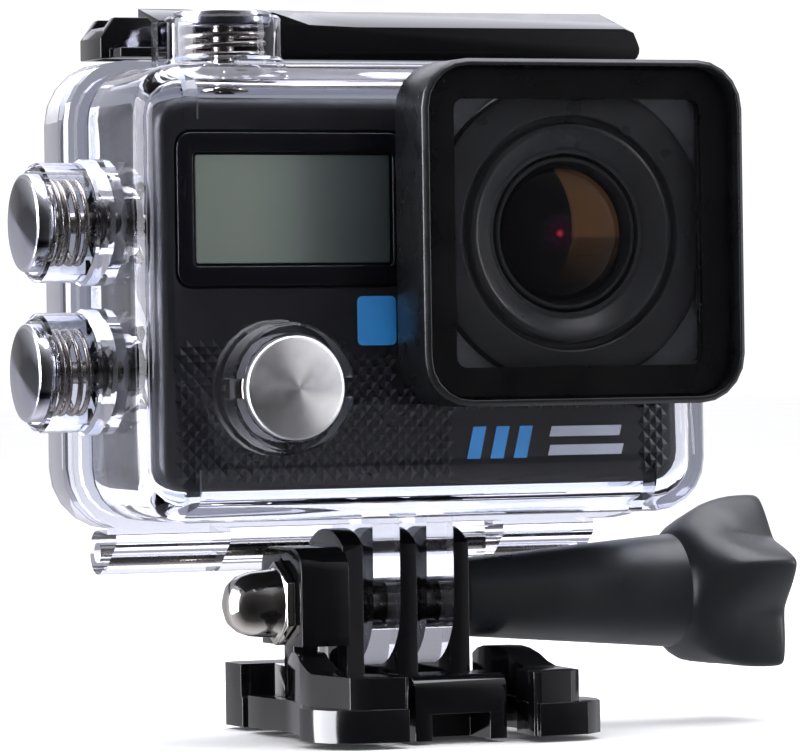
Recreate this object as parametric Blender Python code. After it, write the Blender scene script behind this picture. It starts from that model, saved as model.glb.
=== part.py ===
"""Action camera in a clear dive housing, on a quick-release buckle.

Frame: X to the right as the lens looks at you, -Y out of the lens, +Z up.
The origin is on the buckle's underside, under the middle of the thumbscrew joint.
Every size below is in millimetres; meshes are made in metres.
"""

import math

import bmesh
import bpy
from mathutils import Vector

MM = 0.001
GAP = 0.3  # left between pieces that touch

# --- driving dimensions -------------------------------------------------------------
PIVOT_Z = 14.0  # thumbscrew axis above the buckle's underside, along X at Y = 0
BOLT_R = 2.2  # M5 screw, drawn at its pitch diameter
BORE_R = 2.5

BODY_W, BODY_H, BODY_R = 59.3, 41.2, 3.2  # the camera inside the housing
BODY_Z = 46.9
BODY_FRONT, BODY_SPLIT, BODY_BACK = -10.6, -6.3, 9.9
BODY_WALL = 1.6

SHELL_W, SHELL_H, SHELL_R = 65.2, 48.0, 5.6  # clear front shell
SHELL_Z = 47.1
SHELL_FRONT, SHELL_WALL, SHELL_EDGE = -13.6, 2.0, 3.4
FLANGE_W, FLANGE_H, FLANGE_R = 69.4, 50.0, 6.6
FLANGE_Y0, FLANGE_Y1 = 3.0, 4.8
GASKET_Y0, GASKET_Y1 = 5.1, 6.3
SEAL_W, SEAL_H, SEAL_R, SEAL_BAND = 65.8, 46.8, 5.0, 1.5
DOOR_Y0, DOOR_Y1, DOOR_INNER_Y = 6.6, 12.8, 10.9

LENS_X, LENS_Z = 14.2, 53.0  # optical axis
FRAME_W, FRAME_H, FRAME_R = 37.0, 36.4, 5.2
FRAME_FRONT, FRAME_BACK = -21.6, -13.9
WINDOW_W, WINDOW_H = 35.2, 34.6
CLEAR_W, CLEAR_H = 28.5, 28.2  # the window's clear part
TUNNEL_SIZE, TUNNEL_R = 33.0, 4.0  # opening in the shell behind the window

HINGE_Y, HINGE_Z, HINGE_R = 9.3, 19.6, 2.4  # rear door's hinge, along X
LATCH_PIVOT_X, LATCH_PIVOT_Z = -26.6, 74.9
LATCH_Y0, LATCH_Y1, LATCH_Z0, LATCH_Z1 = 6.7, 13.4, 72.5, 76.3

COUPLING = 0.47  # camera button's travel per travel of its plunger

# Each plunger: where its axis meets the camera, the way it points out, and its heights
# above the camera's surface.
PLUNGERS = {
    "mode": dict(at=(-18.0, BODY_FRONT, 37.1), out=(0, -1, 0), wall=1.0, floor_in=2.4, floor=4.2,
                 sleeve=8.2, cap=9.0, cap_in=7.2, cone=0.9, cap_r=5.4, sleeve_r=6.8, proud=0.5, travel=1.2),
    "shutter": dict(at=(-18.9, -1.8, BODY_Z + BODY_H / 2), out=(0, 0, 1), wall=1.6, floor_in=2.3, floor=4.0,
                    sleeve=9.0, cap=9.5, cap_in=7.8, cone=0.4, cap_r=5.2, sleeve_r=6.2, proud=0.3, travel=1.4),
    "up": dict(at=(-BODY_W / 2, -2.2, 54.7), out=(-1, 0, 0), wall=0.95, floor_in=3.5, floor=5.5,
               sleeve=10.9, cap=12.0, cap_in=10.0, cone=0.6, cap_r=5.15, sleeve_r=6.3, proud=0.6, travel=1.6),
    "down": dict(at=(-BODY_W / 2, -2.2, 39.0), out=(-1, 0, 0), wall=0.95, floor_in=3.5, floor=5.5,
                 sleeve=10.9, cap=12.0, cap_in=10.0, cone=0.6, cap_r=5.15, sleeve_r=6.3, proud=0.6, travel=1.6),
}
STEM_R, CLIP_R, GROOVE_R, CLIP_T = 1.2, 2.6, 0.7, 0.5
BUTTON_R, BUTTON_FLANGE_R = 2.4, 3.2

PRONG_HALF, PRONG_R = 4.9, 7.85
FINGER_R, FINGER_IN, FINGER_OUT = 7.0, 1.55, 4.65
LOBE_ANGLE = math.radians(90)


# --- materials ----------------------------------------------------------------------
def material(name, colour, roughness, metallic=0.0, alpha=1.0):
    made = bpy.data.materials.new(name)
    made.use_nodes = True
    shader = made.node_tree.nodes["Principled BSDF"]
    shader.inputs["Base Color"].default_value = (*colour, 1.0)
    shader.inputs["Roughness"].default_value = roughness
    shader.inputs["Metallic"].default_value = metallic
    shader.inputs["Alpha"].default_value = alpha
    made.diffuse_color = (*colour, alpha)
    return made


def make_materials():
    return {
        "clear": material("clear", (0.93, 0.95, 0.97), 0.05, alpha=0.3),
        "glass": material("glass", (0.75, 0.78, 0.82), 0.03, alpha=0.35),
        "gloss": material("gloss_black", (0.015, 0.015, 0.018), 0.12),
        "matt": material("matt_black", (0.03, 0.03, 0.035), 0.5),
        "body": material("body_grey", (0.06, 0.06, 0.065), 0.45),
        "rubber": material("rubber", (0.02, 0.02, 0.02), 0.8),
        "chrome": material("chrome", (0.8, 0.78, 0.76), 0.15, 1.0),
        "steel": material("steel", (0.6, 0.58, 0.55), 0.25, 1.0),
        "lcd": material("lcd", (0.35, 0.4, 0.36), 0.3),
        "board": material("board", (0.03, 0.18, 0.08), 0.5),
        "battery": material("battery", (0.08, 0.08, 0.1), 0.4),
    }


# --- shape helpers --------------------------------------------------------------------
def to_world(axis, a, b, h):
    """A point with plane coordinates (a, b) and height h along axis x, y or z."""
    x, y, z = {"x": (h, a, b), "y": (a, h, b), "z": (a, b, h)}[axis]
    return Vector((x, y, z)) * MM


def arc(centre, radius, start, end, steps):
    """Points of an arc, angles in degrees."""
    angles = [math.radians(start + (end - start) * i / steps) for i in range(steps + 1)]
    return [(centre[0] + radius * math.cos(a), centre[1] + radius * math.sin(a)) for a in angles]


def rounded_rect(centre, width, height, radius, steps=5):
    corners = ((1, 1, 0), (-1, 1, 90), (-1, -1, 180), (1, -1, 270))
    points = []
    for side_a, side_b, start in corners:
        middle = (centre[0] + side_a * (width / 2 - radius), centre[1] + side_b * (height / 2 - radius))
        points += arc(middle, radius, start, start + 90, steps)
    return points


def finish_mesh(name, bm, look, smooth_angle):
    bmesh.ops.recalc_face_normals(bm, faces=bm.faces)
    mesh = bpy.data.meshes.new(name)
    bm.to_mesh(mesh)
    bm.free()
    made = bpy.data.objects.new(name, mesh)
    bpy.context.scene.collection.objects.link(made)
    if look:
        mesh.materials.append(look)
    mesh.shade_smooth()
    mesh.set_sharp_from_angle(angle=math.radians(smooth_angle))
    return made


def skin(name, loops, look=None, smooth_angle=35, ring=False):
    """A closed body over loops of world points; ring joins the last loop to the first."""
    bm = bmesh.new()
    rows = [[bm.verts.new(point) for point in loop] for loop in loops]
    pairs = list(zip(rows, rows[1:])) + ([(rows[-1], rows[0])] if ring else [])
    for low, high in pairs:
        for i in range(max(len(low), len(high))):
            j = (i + 1) % max(len(low), len(high))
            if len(low) == 1:
                bm.faces.new((low[0], high[j], high[i]))
            elif len(high) == 1:
                bm.faces.new((low[i], low[j], high[0]))
            else:
                bm.faces.new((low[i], low[j], high[j], high[i]))
    if not ring:
        for row in (rows[0], rows[-1]):
            if len(row) > 1:
                bm.faces.new(row)
    return finish_mesh(name, bm, look, smooth_angle)


def prism(name, axis, outline, low, high, look=None):
    loops = [[to_world(axis, a, b, h) for a, b in outline] for h in (low, high)]
    return skin(name, loops, look)


def block(name, low, high, look=None):
    outline = [(low[0], low[1]), (high[0], low[1]), (high[0], high[1]), (low[0], high[1])]
    return prism(name, "z", outline, low[2], high[2], look)


def stack(name, axis, sections, look=None, ring=False):
    """A body through rounded rectangles: (height, centre, width, height, corner radius)."""
    loops = [
        [to_world(axis, a, b, h) for a, b in rounded_rect(centre, width, tall, radius)]
        for h, centre, width, tall, radius in sections
    ]
    return skin(name, loops, look, ring=ring)


def turned(name, at, out, profile, look=None, steps=24, ring=False, phase=0.0):
    """A body turned about the line from at along out; profile is (height, radius), phase a share of a step."""
    out = Vector(out).normalized()
    side = Vector((0, 0, 1)) if abs(out.z) < 0.5 else Vector((0, 1, 0))
    other = out.cross(side)
    loops = []
    for height, radius in profile:
        centre = Vector(at) + out * height
        if radius < 1e-6:
            loops.append([centre * MM])
            continue
        angles = [2 * math.pi * (i + phase) / steps for i in range(steps)]
        loops.append([(centre + (side * math.cos(a) + other * math.sin(a)) * radius) * MM for a in angles])
    return skin(name, loops, look, ring=ring)


def tube_ring(name, at, out, height, radius, wire, look, steps=24, sides=8):
    """A torus round the axis, such as an O-ring."""
    profile = [
        (height + wire * math.sin(2 * math.pi * i / sides), radius + wire * math.cos(2 * math.pi * i / sides))
        for i in range(sides)
    ]
    return turned(name, at, out, profile, look, steps, ring=True)


def coil(name, at, out, low, high, radius, wire, turns, look):
    """A helical compression spring from height low to high, with its end turns closed flat."""
    out = Vector(out).normalized()
    side = Vector((0, 0, 1)) if abs(out.z) < 0.5 else Vector((0, 1, 0))
    other = out.cross(side)
    per_turn, sides = 10, 5
    count = int(turns * per_turn)
    loops = []
    for i in range(count + 1):
        share = i / count
        angle = 2 * math.pi * turns * share
        # The pitch eases in and out, so that the ends lie almost flat.
        lift = low + wire + (high - low - 2 * wire) * (share - math.sin(2 * math.pi * share) / (2 * math.pi) * 0.5)
        spoke = side * math.cos(angle) + other * math.sin(angle)
        centre = Vector(at) + out * lift + spoke * radius
        loops.append([
            (centre + (spoke * math.cos(2 * math.pi * k / sides) + out * math.sin(2 * math.pi * k / sides)) * wire) * MM
            for k in range(sides)
        ])
    return skin(name, loops, look, smooth_angle=80)


def as_helper(obj):
    obj.hide_render = True
    obj.display_type = "WIRE"
    return obj


def combine(target, operation, helpers):
    for helper in helpers:
        as_helper(helper)
        modifier = target.modifiers.new(operation.lower() + "_" + helper.name, "BOOLEAN")
        modifier.operation = operation
        modifier.solver = "EXACT"
        modifier.object = helper
    return target


def fuse(target, *helpers):
    return combine(target, "UNION", helpers)


def cut(target, *helpers):
    return combine(target, "DIFFERENCE", helpers)


def edge_steps(front, inward, width, height, radius, edge, centre, steps=4):
    """Sections that round an edge: from the flat face at front, back along inward by edge."""
    sections = []
    for i in range(steps + 1):
        angle = math.pi / 2 * i / steps
        inset = edge * (1 - math.sin(angle))
        depth = edge * (1 - math.cos(angle))
        sections.append((
            front + inward * depth, centre, width - 2 * inset, height - 2 * inset, max(radius - inset * 0.6, 0.6),
        ))
    return sections


# --- housing ----------------------------------------------------------------------------
def make_front_shell(looks):
    centre = (0, SHELL_Z)
    inner_w, inner_h = SHELL_W - 2 * SHELL_WALL, SHELL_H - 2 * SHELL_WALL
    inner_front = SHELL_FRONT + SHELL_WALL
    inside = edge_steps(inner_front, 1, inner_w, inner_h, SHELL_R - 2.0, 1.6, centre, 3)
    outside = edge_steps(SHELL_FRONT, 1, SHELL_W, SHELL_H, SHELL_R, SHELL_EDGE, centre)
    sections = inside + [(FLANGE_Y1, centre, inner_w, inner_h, SHELL_R - 2.0)]
    groove_w, groove_h = SEAL_W + 2 * GAP, SEAL_H + 2 * GAP
    sections += [
        (FLANGE_Y1, centre, groove_w, groove_h, SEAL_R + GAP),
        (GASKET_Y1, centre, groove_w, groove_h, SEAL_R + GAP),
        (GASKET_Y1, centre, FLANGE_W, FLANGE_H, FLANGE_R),
        (FLANGE_Y0, centre, FLANGE_W, FLANGE_H, FLANGE_R),
        (FLANGE_Y0, centre, SHELL_W, SHELL_H, SHELL_R),
    ]
    shell = stack("front_shell", "y", sections + outside[::-1], looks["clear"])
    tunnel = stack("shell_tunnel_cut", "y", [
        (h, (LENS_X, LENS_Z), TUNNEL_SIZE, TUNNEL_SIZE, TUNNEL_R) for h in (SHELL_FRONT - 2, inner_front + 1)
    ])
    added, removed = [], [tunnel]
    for name, plunger in PLUNGERS.items():
        boss, bore = make_sleeve(name, plunger)
        added.append(boss)
        removed.append(bore)
    added += make_shell_knuckles() + make_fingers() + make_locating_ribs()
    added.append(block("sleeve_tab_add", (-26.6, -2.8, SHELL_Z + SHELL_H / 2 - 1), (-24.4, -0.8, 75.8)))
    x, _, z = PLUNGERS["mode"]["at"]
    removed.append(block("mode_slot_cut", (x - 9, SHELL_FRONT - 6, z - 1.0), (x + 9, SHELL_FRONT - 1.6, z + 1.0)))
    removed.append(turned("finger_bore_cut", (-8, 0, PIVOT_Z), (1, 0, 0), [(0, 0), (0, BORE_R), (16, BORE_R), (16, 0)]))
    removed.append(hinge_bore("shell_hinge_cut", -35, 70))
    fuse(shell, *added)
    return cut(shell, *removed)


def make_sleeve(name, plunger):
    """The clear sleeve round a plunger: what is added to the shell, and what is bored out of it."""
    at, out, p = plunger["at"], plunger["out"], plunger
    base_r = p["sleeve_r"] + 0.35
    boss = turned(name + "_sleeve_add", at, out, [
        (p["wall"] + 0.6, 0), (p["wall"] + 0.6, base_r), (p["floor"] + 0.2, base_r), (p["floor"] + 0.6, p["sleeve_r"]),
        (p["sleeve"] - 0.3, p["sleeve_r"]), (p["sleeve"], p["sleeve_r"] - 0.3), (p["sleeve"], 0),
    ])
    inner_r = p["cap_r"] + GAP
    bore = turned(name + "_bore_cut", at, out, [
        (p["wall"] - 0.8, 0), (p["wall"] - 0.8, 4.6), (p["floor_in"], 4.6), (p["floor_in"], 2.65),
        (p["floor_in"] + 1.15, 2.65), (p["floor_in"] + 1.15, STEM_R + GAP), (p["floor"], STEM_R + GAP),
        (p["floor"], inner_r), (p["sleeve"] + 0.5, inner_r), (p["sleeve"] + 0.5, 0),
    ], phase=0.5)
    return boss, bore


def hinge_bore(name, start, length):
    profile = [(0, 0), (0, 1.1), (length, 1.1), (length, 0)]
    return turned(name, (start, HINGE_Y, HINGE_Z), (1, 0, 0), profile, steps=20)


def knuckle_outline():
    """Side view of a shell knuckle: a web from the flange's lower edge round the hinge pin."""
    web = [(3.2, 22.7), (3.2, 20.6), (6.6, 17.8)]
    eye = arc((HINGE_Y, HINGE_Z), HINGE_R, 230, 450, 14)
    return web + eye + [(6.1, 21.6), (6.1, 22.7)]


SHELL_KNUCKLES = {"left": (-29.9, -16.9), "right": (15.0, 25.8)}
DOOR_KNUCKLE = (-16.4, 14.5)


def make_shell_knuckles():
    return [prism(f"shell_knuckle_{side}_add", "x", knuckle_outline(), low, high)
            for side, (low, high) in SHELL_KNUCKLES.items()]


def finger_outline():
    """Side view: round about the thumbscrew, straight up to the shell, cut away for the door hinge."""
    root = SHELL_Z - SHELL_H / 2 + 0.9
    around = arc((0, PIVOT_Z), FINGER_R, 180, 382, 26)
    return [(-FINGER_R, root)] + around + [(4.6, 18.6), (4.6, root)]


def make_fingers():
    outline = finger_outline()
    return [prism(f"finger_{side}_add", "x", outline, *sorted((sign * FINGER_IN, sign * FINGER_OUT)))
            for side, sign in (("left", -1), ("right", 1))]


def make_locating_ribs():
    """Small L-shaped ribs that hold the camera off the front, top and bottom walls."""
    body_top, body_bottom = BODY_Z + BODY_H / 2, BODY_Z - BODY_H / 2
    ribs = []
    for name, x, edge, side in (("top", -26.4, body_top, 1), ("bottom_left", -26.6, body_bottom, -1),
                                ("bottom_right", 25.6, body_bottom, -1)):
        wall = SHELL_Z + side * (SHELL_H / 2 - SHELL_WALL + 0.6)
        outline = [
            (SHELL_FRONT + 1.2, wall), (-2.5, wall), (-2.5, edge + side * GAP), (BODY_FRONT - GAP, edge + side * GAP),
            (BODY_FRONT - GAP, edge - side * 2.4), (SHELL_FRONT + 1.2, edge - side * 2.4),
        ]
        ribs.append(prism(f"rib_{name}_add", "x", outline, x - 0.8, x + 0.8))
    return ribs


def make_window(looks):
    centre = (LENS_X, LENS_Z)
    recess_y, ledge_y = -19.0, -18.2
    recess = (WINDOW_W + 0.4, WINDOW_H + 0.4, FRAME_R - 0.7)
    frame = stack("lens_frame", "y", [
        (FRAME_BACK, centre, TUNNEL_SIZE, TUNNEL_SIZE, TUNNEL_R),
        (ledge_y, centre, TUNNEL_SIZE, TUNNEL_SIZE, TUNNEL_R),
        (ledge_y, centre, CLEAR_W, CLEAR_H, 1.2),
        (recess_y, centre, CLEAR_W, CLEAR_H, 1.2),
        (recess_y, centre, *recess),
        (FRAME_FRONT, centre, *recess),
        (FRAME_FRONT, centre, FRAME_W - 0.8, FRAME_H - 0.8, FRAME_R - 0.4),
        (FRAME_FRONT + 0.4, centre, FRAME_W, FRAME_H, FRAME_R),
        (FRAME_BACK, centre, FRAME_W, FRAME_H, FRAME_R),
    ], looks["gloss"], ring=True)
    pane = stack("lens_window", "y", [
        (-20.9, centre, WINDOW_W - 0.6, WINDOW_H - 0.6, FRAME_R - 1.2),
        (-20.6, centre, WINDOW_W, WINDOW_H, FRAME_R - 0.9),
        (-19.8, centre, WINDOW_W, WINDOW_H, FRAME_R - 0.9),
    ], looks["glass"])
    seal = stack("window_seal", "y", [
        (-19.2, centre, CLEAR_W + 1.2, CLEAR_H + 1.2, 1.6), (-19.6, centre, CLEAR_W + 1.2, CLEAR_H + 1.2, 1.6),
        (-19.6, centre, WINDOW_W - 1, WINDOW_H - 1, 3.6), (-19.2, centre, WINDOW_W - 1, WINDOW_H - 1, 3.6),
    ], looks["rubber"], ring=True)
    return frame, pane, seal


def make_rear_door(looks):
    centre = (0, SHELL_Z)
    cavity_w, cavity_h = 61.4, 43.6
    sections = [
        (DOOR_INNER_Y, centre, cavity_w - 3, cavity_h - 3, 2.4),
        (DOOR_INNER_Y - 1.2, centre, cavity_w, cavity_h, 3.6),
        (DOOR_Y0, centre, cavity_w, cavity_h, 3.6),
        (DOOR_Y0, centre, FLANGE_W, FLANGE_H, FLANGE_R),
    ]
    sections += edge_steps(DOOR_Y1, -1, FLANGE_W, FLANGE_H, FLANGE_R, 2.2, centre)[::-1]
    door = stack("rear_door", "y", sections, looks["clear"])
    low, high = DOOR_KNUCKLE
    eye = arc((HINGE_Y, HINGE_Z), HINGE_R, 150, 400, 14)
    knuckle = prism("door_knuckle_add", "x", eye + [(11.7, 21.2), (11.7, 22.8), (7.4, 22.8)], low, high)
    fuse(door, knuckle)
    cut(door, hinge_bore("door_hinge_cut", -20, 40))
    pin_length = SHELL_KNUCKLES["right"][1] - SHELL_KNUCKLES["left"][0] - 1.0
    turned("hinge_pin", (SHELL_KNUCKLES["left"][0] + 0.5, HINGE_Y, HINGE_Z), (1, 0, 0),
           [(0, 0), (0, 0.5), (0.3, 0.8), (pin_length - 0.3, 0.8), (pin_length, 0.5), (pin_length, 0)],
           looks["steel"], steps=16)
    inner_w, inner_h, inner_r = SEAL_W - 2 * SEAL_BAND, SEAL_H - 2 * SEAL_BAND, SEAL_R - SEAL_BAND
    stack("door_seal", "y", [
        (GASKET_Y0, centre, inner_w, inner_h, inner_r), (GASKET_Y1, centre, inner_w, inner_h, inner_r),
        (GASKET_Y1, centre, SEAL_W, SEAL_H, SEAL_R), (GASKET_Y0, centre, SEAL_W, SEAL_H, SEAL_R),
    ], looks["rubber"], ring=True)
    return door


def make_latch(looks):
    """A bracket bonded to the shell, and a lever pinned in it that lies over the door's top edge."""
    pin_at = (LATCH_PIVOT_X, LATCH_PIVOT_Z)
    left, right = -29.6, 34.1
    ear_end, arm_start = LATCH_PIVOT_X + 3.3, LATCH_PIVOT_X + 3.7
    cheek = 1.6
    foot = block("latch_foot_add", (left + 1.0, 3.2, LATCH_Z0), (ear_end, LATCH_Y0 + 1, LATCH_Z0 + 1.0))
    bracket_outline = [(left, LATCH_Z0), (ear_end, LATCH_Z0), (ear_end, LATCH_Z1 - 0.3), (ear_end - 0.9, LATCH_Z1 + 0.6),
                       (left + 1.6, LATCH_Z1 + 0.6), (left, LATCH_Z1 - 1.6)]
    bracket = prism("latch_bracket", "y", bracket_outline, LATCH_Y0, LATCH_Y1, looks["gloss"])
    fuse(bracket, foot)
    slot_low, slot_high = LATCH_Y0 + cheek - 0.2, LATCH_Y1 - cheek + 0.2
    # The tongue of the lever sits in this slot; the left hook lies over the flange only.
    slot = block("latch_slot_cut", (LATCH_PIVOT_X - 2.1, slot_low, 70), (ear_end + 1, slot_high, 80))
    bore = turned("latch_bore_cut", (LATCH_PIVOT_X, slot_low - 1.1, LATCH_PIVOT_Z), (0, 1, 0),
                  [(0, 0), (0, 0.9), (15, 0.9), (15, 0)], steps=16)
    cut(bracket, slot, bore)

    tongue = prism("latch_tongue_add", "y",
                   arc(pin_at, 1.8, 90, 270, 10) + [(arm_start + 1, LATCH_PIVOT_Z - 1.8),
                                                    (arm_start + 1, LATCH_PIVOT_Z + 1.2)],
                   slot_low + GAP, slot_high - GAP)
    # The top face rises towards the back by this much, and has a crown near the left end.
    rise = 2.1
    front = [(arm_start, LATCH_Z0), (right - 1.2, LATCH_Z0)]
    front += arc((right - 1.6, LATCH_Z0 + 1.4), 1.4, -60, 30, 4)
    front += [(right - 0.9, LATCH_Z1 - 0.5), (right - 2.0, LATCH_Z1 - 0.1), (0.0, LATCH_Z1 - 0.2), (-5.6, LATCH_Z1)]
    front += [(-8.4, LATCH_Z1 + 0.9), (-9.8, LATCH_Z1 + 1.3), (-12.4, LATCH_Z1 + 1.3), (-14.0, LATCH_Z1 + 0.5)]
    front += [(arm_start, LATCH_Z1 + 0.3)]
    bottom = len(front) - 8
    back = [(x, z + (0 if i < bottom else min(rise, 78.3 - z))) for i, (x, z) in enumerate(front)]
    lever = skin("latch_lever", [[to_world("y", a, b, h) for a, b in outline]
                                 for h, outline in ((LATCH_Y0, front), (LATCH_Y1, back))], looks["gloss"])
    fuse(lever, tongue)
    cut(lever, turned("lever_bore_cut", (LATCH_PIVOT_X, 2, LATCH_PIVOT_Z), (0, 1, 0),
                      [(0, 0), (0, 0.95), (15, 0.95), (15, 0)], steps=16))
    length = LATCH_Y1 - slot_low + 0.6
    turned("latch_pin", (LATCH_PIVOT_X, slot_low - 0.8, LATCH_PIVOT_Z), (0, 1, 0),
           [(0, 0), (0, 0.6), (length, 0.6), (length, 0)], looks["steel"], steps=16)
    return lever


# --- plungers and the camera's buttons ---------------------------------------------------
def make_plunger(name, p, looks):
    at, out = p["at"], p["out"]
    tip = p["proud"] + p["travel"] * (1 - COUPLING) + 0.1
    clip = p["floor_in"] - GAP - CLIP_T
    socket = p["cap"] - 0.7
    turned(f"{name}_cap", at, out, [
        (socket, 0), (socket, STEM_R + GAP), (p["cap_in"], STEM_R + GAP), (p["cap_in"], p["cap_r"] - 0.3),
        (p["cap_in"] + 0.3, p["cap_r"]), (p["cap"], p["cap_r"]), (p["cap"] + 0.15, p["cap_r"] - 0.35),
        (p["cap"] + p["cone"] * 0.72, 2.0), (p["cap"] + p["cone"], 0),
    ], looks["chrome"], steps=28)
    turned(f"{name}_stem", at, out, [
        (tip, 0), (tip, STEM_R - 0.2), (tip + 0.2, STEM_R), (clip - 0.2, STEM_R), (clip - 0.2, GROOVE_R),
        (clip + CLIP_T + 0.2, GROOVE_R), (clip + CLIP_T + 0.2, STEM_R), (socket - GAP, STEM_R), (socket - GAP, 0),
    ], looks["steel"], steps=12)
    turned(f"{name}_clip", at, out, [
        (clip, GROOVE_R + 0.25), (clip + CLIP_T, GROOVE_R + 0.25), (clip + CLIP_T, CLIP_R), (clip, CLIP_R),
    ], looks["steel"], steps=14, ring=True)
    tube_ring(f"{name}_o_ring", at, out, p["floor_in"] + 0.57, 1.92, 0.42, looks["rubber"], steps=14, sides=5)
    wire = 0.25
    turns = 3.5 if p["travel"] > 1.5 else 2.0
    coil(f"{name}_spring", at, out, p["floor"] + GAP, p["cap_in"] - GAP, 4.3, wire, turns, looks["steel"])
    return make_camera_button(name, p, looks)


def make_camera_button(name, p, looks):
    """The camera's own button, held in its wall by an inner flange."""
    inner = -BODY_WALL - GAP
    return turned(f"{name}_button", p["at"], p["out"], [
        (inner - 0.8, 0), (inner - 0.8, BUTTON_FLANGE_R), (inner, BUTTON_FLANGE_R), (inner, BUTTON_R),
        (p["proud"] - 0.2, BUTTON_R), (p["proud"], BUTTON_R - 0.2), (p["proud"], 0),
    ], looks["body"], steps=24)


def button_hole(name, p):
    profile = [(-5, 0), (-5, BUTTON_R + GAP), (3, BUTTON_R + GAP), (3, 0)]
    return turned(name + "_hole_cut", p["at"], p["out"], profile, steps=24)


# --- camera ---------------------------------------------------------------------------------
def cup(name, axis, front, edge, back, wall, centre, width, height, radius, rounding, look):
    """An open box: its closed face at front, its rim at back; edge is the sign towards back."""
    outer = edge_steps(front, edge, width, height, radius, rounding, centre, 3)
    inner_w, inner_h, inner_r = width - 2 * wall, height - 2 * wall, max(radius - wall, 0.8)
    sections = [(front + edge * wall, centre, inner_w, inner_h, inner_r), (back, centre, inner_w, inner_h, inner_r),
                (back, centre, width, height, radius)]
    return stack(name, axis, sections + outer[::-1], look)


def make_camera(looks):
    centre = (0, BODY_Z)
    front = cup("front_cover", "y", BODY_FRONT, 1, BODY_SPLIT - 0.15, BODY_WALL, centre, BODY_W, BODY_H, BODY_R, 1.2,
                looks["body"])
    plinth = stack("lens_plinth_add", "y", [
        (-13.0, (LENS_X, LENS_Z), 30.4, 30.4, 3.0), (-12.7, (LENS_X, LENS_Z), 31.0, 31.0, 3.2),
        (BODY_FRONT + 1.0, (LENS_X, LENS_Z), 31.0, 31.0, 3.2),
    ])
    lens_hole = turned("lens_hole_cut", (LENS_X, -14, LENS_Z), (0, 1, 0), [(0, 0), (0, 9.4), (8, 9.4), (8, 0)])
    display_w, display_h = 26.0, 16.6
    display_x, display_z = -28.0 + display_w / 2, 55.8
    recess = stack("display_recess_cut", "y", [
        (h, (display_x, display_z), display_w, display_h, 1.8) for h in (BODY_FRONT - 1, BODY_FRONT + 1.0)
    ])
    fuse(front, plinth)
    cut(front, lens_hole, recess, button_hole("mode", PLUNGERS["mode"]))

    rear = cup("rear_cover", "y", BODY_BACK, -1, BODY_SPLIT + 0.15, BODY_WALL, centre, BODY_W, BODY_H, BODY_R, 1.0,
               looks["body"])
    screen_w, screen_h, screen_x = 45.0, 33.0, 2.5
    screen_recess = stack("screen_recess_cut", "y", [
        (h, (screen_x, BODY_Z), screen_w + 0.6, screen_h + 0.6, 1.8) for h in (BODY_BACK - 1.1, BODY_BACK + 1)
    ])
    floor = BODY_Z - BODY_H / 2
    door_low, door_high = (-8.0, -1.6), (27.0, 8.0)
    door_cut = block("battery_door_cut", (door_low[0] - GAP, door_low[1] - GAP, floor - 1),
                     (door_high[0] + GAP, door_high[1] + GAP, floor + BODY_WALL + 1))
    cut(rear, screen_recess, door_cut, *[button_hole(n, PLUNGERS[n]) for n in ("shutter", "up", "down")])

    stack("rear_screen", "y", [
        (BODY_BACK - 0.8, (screen_x, BODY_Z), screen_w, screen_h, 1.5),
        (BODY_BACK - 0.1, (screen_x, BODY_Z), screen_w, screen_h, 1.5),
    ], looks["glass"])
    block("battery_door", (*door_low, floor), (*door_high, floor + BODY_WALL), looks["body"])
    stack("display_bezel", "y", [
        (BODY_FRONT + 0.7, (display_x, display_z), display_w - 0.6, display_h - 0.6, 1.5),
        (BODY_FRONT - 0.2, (display_x, display_z), display_w - 0.6, display_h - 0.6, 1.5),
        (BODY_FRONT - 0.2, (display_x + 0.3, display_z), 22.4, 11.9, 0.5),
        (BODY_FRONT + 0.7, (display_x + 0.3, display_z), 22.4, 11.9, 0.5),
    ], looks["gloss"], ring=True)
    stack("display_panel", "y", [
        (BODY_FRONT + 0.7, (display_x + 0.3, display_z), 21.8, 11.3, 0.3),
        (BODY_FRONT + 0.1, (display_x + 0.3, display_z), 21.8, 11.3, 0.3),
    ], looks["lcd"])
    make_lens(looks)
    make_internals(looks)


def make_lens(looks):
    at, out = (LENS_X, 0, LENS_Z), (0, -1, 0)
    turned("lens_surround", at, out, [
        (13.3, 9.2), (13.3, 16.2), (17.0, 16.2), (17.5, 15.6), (17.5, 12.6), (16.6, 12.3), (16.6, 11.7),
        (17.7, 11.4), (17.8, 11.1), (17.7, 10.8), (16.8, 9.2), (16.3, 8.9), (16.3, 8.45), (14.6, 8.45), (14.6, 9.2),
    ], looks["gloss"], steps=36, ring=True)
    turned("lens_barrel", at, out, [
        (5.4, 6.6), (12.6, 6.6), (12.6, 8.1), (15.9, 8.1), (16.2, 7.9), (16.2, 7.6), (14.0, 7.4), (14.0, 5.2),
        (12.2, 5.2), (12.2, 4.6), (5.4, 4.6),
    ], looks["matt"], steps=28, ring=True)
    turned("lens_front_element", at, out, [
        (14.3, 0), (14.3, 7.05), (14.7, 7.1), (15.1, 6.2), (15.4, 4.6), (15.6, 2.6), (15.7, 0),
    ], looks["glass"], steps=28)
    turned("lens_inner_element", at, out, [
        (12.5, 0), (12.5, 4.9), (13.1, 4.9), (13.6, 3.6), (13.9, 1.8), (14.0, 0),
    ], looks["glass"], steps=20)


def make_internals(looks):
    block("sensor_board", (LENS_X - 8, -5.1, LENS_Z - 8), (LENS_X + 8, -4.1, LENS_Z + 8), looks["board"])
    block("main_board", (-24.5, -3.6, 29.6), (25.5, -2.4, 62.5), looks["board"])
    stack("battery", "y", [
        (-1.9, (9.2, 44.0), 33.0, 29.2, 2.0), (7.6, (9.2, 44.0), 33.0, 29.2, 2.0),
    ], looks["battery"])


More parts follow.
